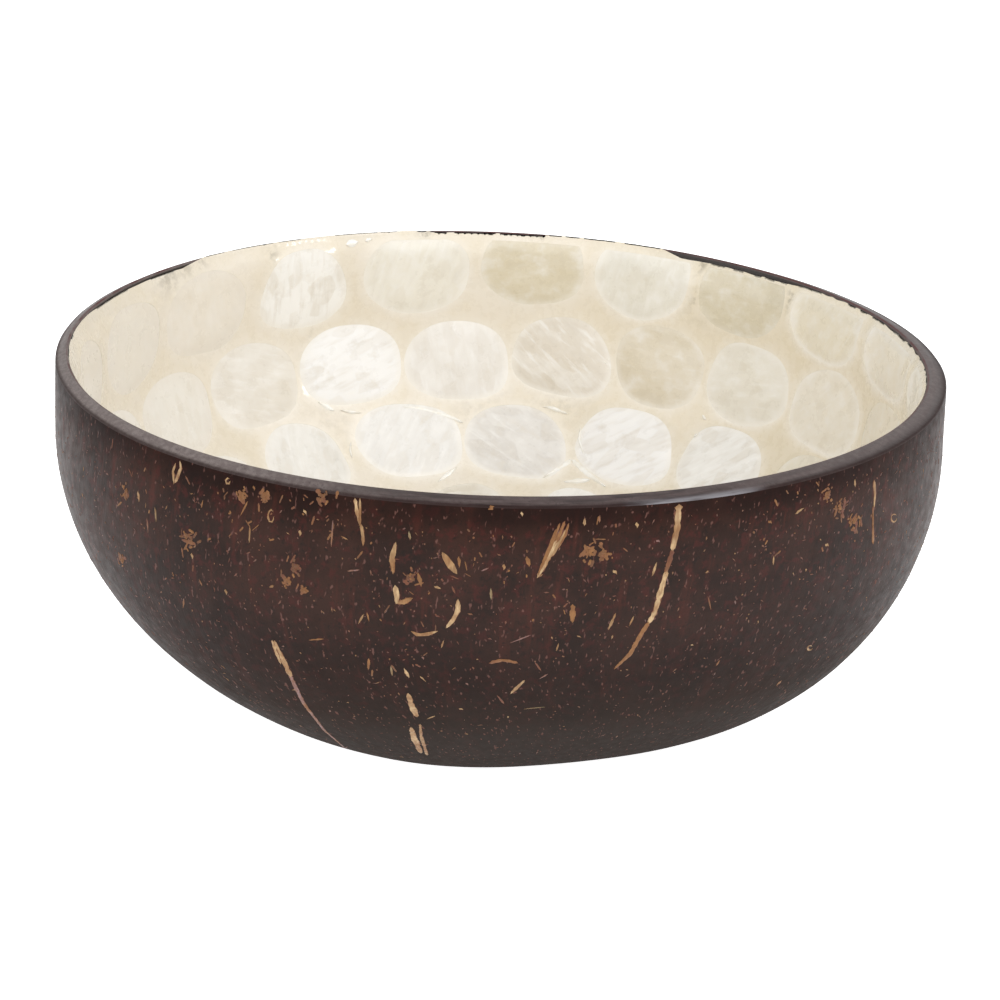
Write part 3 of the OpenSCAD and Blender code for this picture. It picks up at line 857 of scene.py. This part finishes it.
def cream_lacquer():
    """Cream lacquer under a clear gloss coat: cloudy, paler below each chip, soiled in spots at the rim, with
    painted shade to the right and in a few spots between the chips.
    """
    finish = Finish("cream_lacquer", coat_weight=0.8, coat_roughness=0.08, specular_ior_level=0.4)
    place = finish.position()
    cloudy = finish.span(finish.cloud(place, 0.09, 5, 0.6), 0.32, 0.68)
    cream = finish.mix(cloudy, tone(238, 229, 213), tone(233, 222, 200))
    # Painted shade: darker and yellower toward the right side of the lining.
    to_right = finish.span(finish.axis(place, "X"), -10, 45, 0, 0.68)
    cream = finish.mix(to_right, cream, tone(226, 213, 184))
    fine = finish.span(finish.cloud(place, 0.7, 4, 0.6), 0.35, 0.7)
    cream = finish.mix(finish.times(fine, 0.18), cream, tone(240, 232, 219))
    halo = finish.times(finish.kept("halo", "Fac"), finish.span(fine, 0, 1, 0.75, 1))
    cream = finish.mix(finish.times(halo, 0.8), cream, halo_tone)
    # Grey brown soil at the rim, and painted shade in a few spots between the chips.
    broken = finish.span(finish.cloud(place, 0.8, 3, 0.6), 0.40, 0.62)
    soil_and_shade = finish.times(finish.kept("soil_and_shade", "Fac"), broken)
    finish.drive("Base Color", finish.mix(soil_and_shade, cream, tone(122, 114, 94)))
    finish.drive("Roughness", finish.span(fine, 0, 1, 0.25, 0.38))
    finish.drive("Normal", finish.relief(finish.cloud(place, 0.35, 2), 0.06, 0.3))
    return finish.material


smooth_turns, smooth_rings, smooth_from, creep_down = 144, 80, 2, 2
smooth_run = np.linspace(smooth_from, bed_run, smooth_rings)
smooth_bed = on_bed(bearings(smooth_turns)[None, :], smooth_run[:, None]).reshape(-1, 3)
smooth_faces = list(ring_faces(smooth_rings, smooth_turns))
lining_sight = BVHTree.FromPolygons([tuple(p) for p in smooth_bed], smooth_faces)


def seen_inside(across, down):
    """The place on the lining that the camera sees at a pixel or just below it, and the way it faces."""
    place = None
    while place is None:
        line = line_of_sight(across, down)
        place, out, _, _ = lining_sight.ray_cast(view_from / MM, line)
        down += creep_down
    return place, out if out.dot(line) < 0 else -out


soil_and_shade_off_chips = (0.1, 0.8)
# Spots with a middle in pixels, a size and a strength: soil at the rim, while the three wide faint ones at
# (480, 409), (560, 402) and (330, 425), between the middle and lower rows, are painted shade.
soil_and_shade_spots = [
    (165, 263, 3.0, 0.45), (185, 262, 2.0, 0.35), (200, 258, 1.6, 0.3), (272, 255, 1.2, 0.4),
    (703, 300, 4.0, 0.2), (748, 335, 4.0, 0.12), (480, 409, 5.0, 0.14), (560, 402, 4.0, 0.18),
    (330, 425, 5.0, 0.12), (425, 236, 1.0, 0.6), (541, 243, 1.2, 0.7), (673, 275, 1.0, 0.4),
    (697, 297, 1.2, 0.4), (712, 262, 2.4, 0.8), (735, 275, 3.0, 0.6), (765, 284, 2.4, 0.6),
    (790, 300, 1.8, 0.5), (745, 305, 1.2, 0.4), (752, 325, 1.2, 0.4), (307, 335, 0.5, 0.8),
    (600, 375, 1.4, 0.3),
]
soil_and_shade = np.zeros(len(points))
for across, down, size, strength in soil_and_shade_spots:
    far = np.linalg.norm(np.array(points) - np.array(seen_inside(across, down)[0]), axis=1)
    soil_and_shade = np.maximum(soil_and_shade, strength * np.exp(-(far / size) ** 2))
soil_and_shade[:len(to_chip)] *= eased(to_chip, *soil_and_shade_off_chips)
soil_and_shade[len(to_chip):] = 0
bed = make_piece("lacquer_lining", points, faces, cream_lacquer())
halo = np.zeros(len(points))
halo[:len(to_chip)] = np.clip(1 - to_chip / halo_wide, 0, 1) * (halo_all + halo_below * below) * clear
note(bed, "halo", halo)
note(bed, "soil_and_shade", soil_and_shade)
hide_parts("lacquer_bed")
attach(bed, "root")


# The lacquer runs: beads and drops of clear lacquer that gathered on the lining, mostly below chips, before
# it set. They catch the light, are coloured nearly white as a painted glint, and lie where the photograph
# shows them.
run_section = ((1, -0.03), (0.6, 0.16), (0, 0.23), (-0.6, 0.16), (-1, -0.03), (0, -0.2))
runs_seen = [
    ([(403, 407), (420, 409), (440, 414), (455, 419), (463, 423)], (0.4, 0.9, 0.8, 0.9, 0.4)),
    ([(318, 402), (326, 406), (334, 411)], (0.4, 1.1, 0.5)),
    ([(340, 410), (350, 412), (361, 413)], (0.3, 0.6, 0.3)),
    ([(543, 407), (552, 408), (562, 412), (568, 414)], (0.3, 0.7, 0.6, 0.3)),
    ([(543, 478), (558, 469), (572, 460)], (0.4, 1.0, 0.9)),
    ([(572, 460), (588, 474), (606, 487)], (0.9, 1.0, 0.4)),
    ([(564, 482), (578, 481), (591, 480)], (0.4, 1.1, 0.4)),
    ([(351, 442), (350, 450), (352, 458)], (0.2, 0.5, 0.2)),
    ([(438, 482), (447, 475), (457, 467)], (0.3, 1.0, 0.4)),
    ([(581, 428), (579, 440), (584, 455)], (0.3, 0.7, 0.3)),
    ([(575, 330), (590, 345), (608, 365)], (0.2, 0.35, 0.2)),
    ([(703, 415), (704, 418), (706, 420)], (0.4, 0.7, 0.4)),
    ([(694, 437), (697, 435), (699, 433)], (0.4, 0.7, 0.4)),
    ([(346, 245), (352, 243), (358, 242)], (0.6, 1.6, 0.6)),
    ([(365, 241), (368, 240), (372, 239)], (0.4, 0.9, 0.4)),
]


def clear_lacquer_painted_glint():
    """Thick clear lacquer over cream, coloured nearly white as a painted glint: smooth and glossy, with a
    faint cloud in it.
    """
    finish = Finish("clear_lacquer_painted_glint", coat_weight=1.0, coat_roughness=0.03, roughness=0.15)
    place = finish.position()
    cloudy = finish.span(finish.cloud(place, 0.8, 3), 0.35, 0.65)
    # Painted glint: the beads are nearly white, whiter than the cream round them.
    finish.drive("Base Color", finish.mix(cloudy, tone(247, 242, 230), tone(254, 252, 246)))
    finish.drive("Normal", finish.relief(finish.cloud(place, 1.6, 2), 0.05, 0.3))
    return finish.material


lacquer_runs = Strands(seed=19, section=run_section, stain=halo_tone)
for route, widths in runs_seen:
    lacquer_runs.follow(route, widths, halo_tone, ragged=0.15, locate=seen_inside)
beads = lacquer_runs.piece("lacquer_runs", clear_lacquer_painted_glint())
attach(beads, "root")


# The pearl shell chips: thin discs punched from pearl shell and ground flat, each pressed into the bed on its
# own tilt. The rim row is trimmed along the rim, and clear lacquer covers them all.
def pearl_shell():
    """Pearl shell under clear lacquer: white to beige, with cloudy patches and fine parallel growth lines."""
    finish = Finish("pearl_shell", coat_weight=1.0, coat_roughness=0.10, specular_ior_level=0.5)
    place = finish.kept("grain")
    tint = finish.kept("tint", "Color")
    lines = finish.cloud(finish.stretch(place, (0.20, 0.95, 1)), 1.0, 3, 0.55)
    broad = finish.stretch(place, (0.7, 1.2, 1))
    flakes = finish.add("TexVoronoi", {"Vector": broad, "Scale": 0.42, "Smoothness": 0.35}, "Color",
                        feature="SMOOTH_F1")
    clouds = finish.cloud(place, 0.32, 4, 0.6)
    lined = finish.kept("lined", "Fac")
    pearl = finish.mix(finish.span(clouds, 0.45, 0.75, 0, 0.45), tint, tone(250, 248, 243))
    pearl = finish.mix(finish.span(clouds, 0.45, 0.25, 0, 0.35), pearl, tone(208, 196, 172))
    pale_flake = finish.times(finish.span(flakes, 0.25, 0.6, 0.7, 0), lined)
    pearl = finish.mix(pale_flake, pearl, tone(252, 250, 245))
    dark_flake = finish.times(finish.span(flakes, 0.5, 0.8, 0, 0.7), lined)
    pearl = finish.mix(dark_flake, pearl, tone(222, 213, 197))
    dark_line = finish.times(finish.span(lines, 0.46, 0.80), lined)
    pearl = finish.mix(dark_line, pearl, tone(214, 205, 191))
    light_line = finish.times(finish.span(lines, 0.46, 0.30), lined)
    pearl = finish.mix(light_line, pearl, tone(253, 251, 247))
    pearl = finish.mix(finish.times(finish.kept("brink", "Fac"), 0.8), pearl, halo_tone)
    pearl = finish.mix(finish.kept("veil", "Fac"), pearl, tone(236, 228, 215))
    finish.drive("Base Color", pearl)
    finish.drive("Roughness", finish.span(clouds, 0.3, 0.7, 0.22, 0.42))
    finish.drive("Normal", finish.relief(finish.times(lines, lined), 0.12, 0.4))
    return finish.material


# Colour, strength of the growth lines and the angle that they lie at, of the chips in view, right to left.
# The whitest, the seventh of the rim and middle rows and the second and third of the lower row, are partly
# the pearl's own white and partly painted highlight where they shine toward the lamps.
shown = {
    "rim_chip": [((233, 222, 198), 0.15, 20), ((229, 217, 188), 0.15, 60), ((212, 199, 165), 0.12, 0),
                 ((229, 223, 205), 0.20, 80), ((219, 205, 171), 0.12, 10), ((240, 234, 217), 0.25, 70),
                 ((253, 251, 245), 0.55, 85), ((240, 230, 211), 0.20, 100), ((240, 234, 216), 0.10, 90),
                 ((240, 232, 214), 0.05, 90), ((240, 232, 214), 0.05, 90)],
    "middle_chip": [((229, 217, 191), 0.04, 60), ((232, 222, 200), 0.15, 40), ((231, 224, 206), 0.20, 10),
                    ((219, 205, 175), 0.15, 0), ((225, 214, 195), 0.50, 140), ((234, 228, 218), 0.30, 100),
                    ((253, 252, 250), 0.35, 20), ((234, 227, 213), 0.40, 160), ((242, 240, 231), 0.35, 80)],
    "lower_chip": [((231, 220, 195), 0.04, 30), ((241, 238, 230), 0.50, 40), ((248, 246, 243), 0.45, 35),
                   ((217, 211, 202), 0.38, 150), ((231, 228, 222), 0.30, 60), ((228, 224, 214), 0.35, 75)],
    "floor_chips": [],
}
chip_rings = (0.0, 0.3, 0.55, 0.75, 0.86, 0.94, 1.0)
tucked, sunk, tilt, paler = 0.05, 0.03, 0.012, 0.2
led_from, veiled_from, brink_from = 0.45, 0.6, 0.82
row_apart, chip_apart = 31, 7
dull_pearl, white_pearl = (222, 212, 190), (248, 246, 240)
pearl = pearl_shell()


class Chip:
    """The points and faces of chips that share one piece, with what their material reads."""

    def __init__(self):
        self.points, self.faces = [], []
        self.kept = {"tint": [], "grain": [], "lined": [], "brink": [], "veil": []}

    def press(self, seat, brim, middle, square):
        """A flat chip that fills its pocket: the clear coat leads from its flat face to the bed round it."""
        chance = seat.chance
        across = np.cross([0, 0, 1], square)
        across /= np.linalg.norm(across)
        up = np.cross(square, across)
        looks = shown[row_names[seat.row]]
        if seat.number < len(looks):
            colour, lined, spin = looks[seat.number]
        else:
            whiter = chance.random()
            colour = [dull + (white - dull) * whiter for dull, white in zip(dull_pearl, white_pearl)]
            lined, spin = chance.uniform(0.15, 0.5), chance.uniform(0, 180)
        spin = math.radians(spin)
        red, green, blue = colour
        green, blue = green + paler * (red - green), blue + paler * (red - blue)
        lean = chance.normal(0, tilt, 2)
        offset = brim - middle
        high = offset @ square
        flat = offset - np.outer(high, square)
        flat *= 1 + tucked / np.linalg.norm(flat, axis=1, keepdims=True)
        a, b = flat @ across, flat @ up
        lower_edge = halo_all - halo_below * b / np.hypot(a, b)
        along, aside = a * math.cos(spin) + b * math.sin(spin), b * math.cos(spin) - a * math.sin(spin)
        turned = np.stack([along, aside])
        depth = row_apart * seat.row + chip_apart * seat.number
        start = len(self.points)
        for share in chip_rings + (1.0,):
            under = len(self.points) - start == len(chip_rings) * outline_steps
            led = eased(share, led_from, 1)
            lift = led * (high * share ** 2 - sunk) + (1 - led) * share * (lean[0] * a + lean[1] * b)
            lift = np.full(outline_steps, -chip_t) if under else lift
            self.points += list(middle + flat * share + np.outer(lift, square))
            self.kept["tint"] += [tone(red, green, blue)] * outline_steps
            veil = seat.veil + (1 - seat.veil) * seat.veil * eased(share, veiled_from, 1)
            self.kept["veil"] += [veil] * outline_steps
            self.kept["lined"] += [lined] * outline_steps
            self.kept["brink"] += list(lower_edge * eased(share, brink_from, 1) * seat.clear)
            self.kept["grain"] += [(x, y, depth) for x, y in (turned * share).T]
        rows = len(chip_rings) + 1
        self.faces += [tuple(start + i for i in quad) for quad in ring_faces(rows, outline_steps)]
        self.faces.append(tuple(start + (rows - 1) * outline_steps + i for i in range(outline_steps))[::-1])


gathered = {}
for seat, brim, middle, square in chip_loops:
    name = row_names[seat.row]
    node = name if seat.row >= first_floor_row else f"{name}_{seat.number + 1}"
    gathered.setdefault(node, Chip()).press(seat, brim, middle, square)
for node, chip in gathered.items():
    disc = make_piece(f"pearl_{node}", chip.points, chip.faces, pearl)
    for name, values in chip.kept.items():
        note(disc, name, values)
    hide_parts(node)
    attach(disc, "root")


# The floor and the light: a white table top that glows like a light table, so that the bowl throws no
# shadow, under a soft white sky. A broad lamp hangs in front above the camera, weaker ones stand on the right
# and on the left, and a small one, low on the right, makes the lacquer glint.
floor_r, floor_steps, floor_below, sky_strength = 3.0, 64, 0.02, 0.6
lamp_aim = Vector((0, 0, 0.03))
floor_points = [(floor_r / MM * math.cos(turn), floor_r / MM * math.sin(turn), -floor_below)
                for turn in bearings(floor_steps)]
white_table = Finish("white_table", base_color=(0.9, 0.9, 0.9, 1), roughness=0.9,
                     emission_color=(1, 1, 1, 1), emission_strength=0.95)
floor = make_piece("floor", floor_points, [tuple(range(floor_steps))], white_table.material)
world = bpy.data.worlds.new("sky")
world.use_nodes = True
sky = world.node_tree.nodes["Background"]
sky.inputs["Color"].default_value = (1, 1, 1, 1)
sky.inputs["Strength"].default_value = sky_strength
bpy.context.scene.world = world


def soft_lamp(name, place, width, height, watts):
    """A flat lamp that shines on the bowl."""
    lamp = bpy.data.objects.new(name, bpy.data.lights.new(name, "AREA"))
    lamp.data.shape = "RECTANGLE"
    lamp.data.size = width
    lamp.data.size_y = height
    lamp.data.energy = watts
    lamp.location = place
    lamp.rotation_euler = (lamp_aim - Vector(place)).to_track_quat("-Z", "Y").to_euler()
    bpy.context.scene.collection.objects.link(lamp)


soft_lamp("lamp_front", place=(-0.08, -0.85, 0.88), width=1.6, height=1.6, watts=7.3)
soft_lamp("lamp_right", place=(0.83, -0.39, 0.80), width=1.1, height=1.1, watts=3.2)
soft_lamp("lamp_left", place=(-1.1, -0.5, 0.45), width=0.7, height=0.7, watts=1.7)
soft_lamp("lamp_glint", place=(0.89, -0.67, 0.48), width=0.2, height=0.1, watts=0.8)
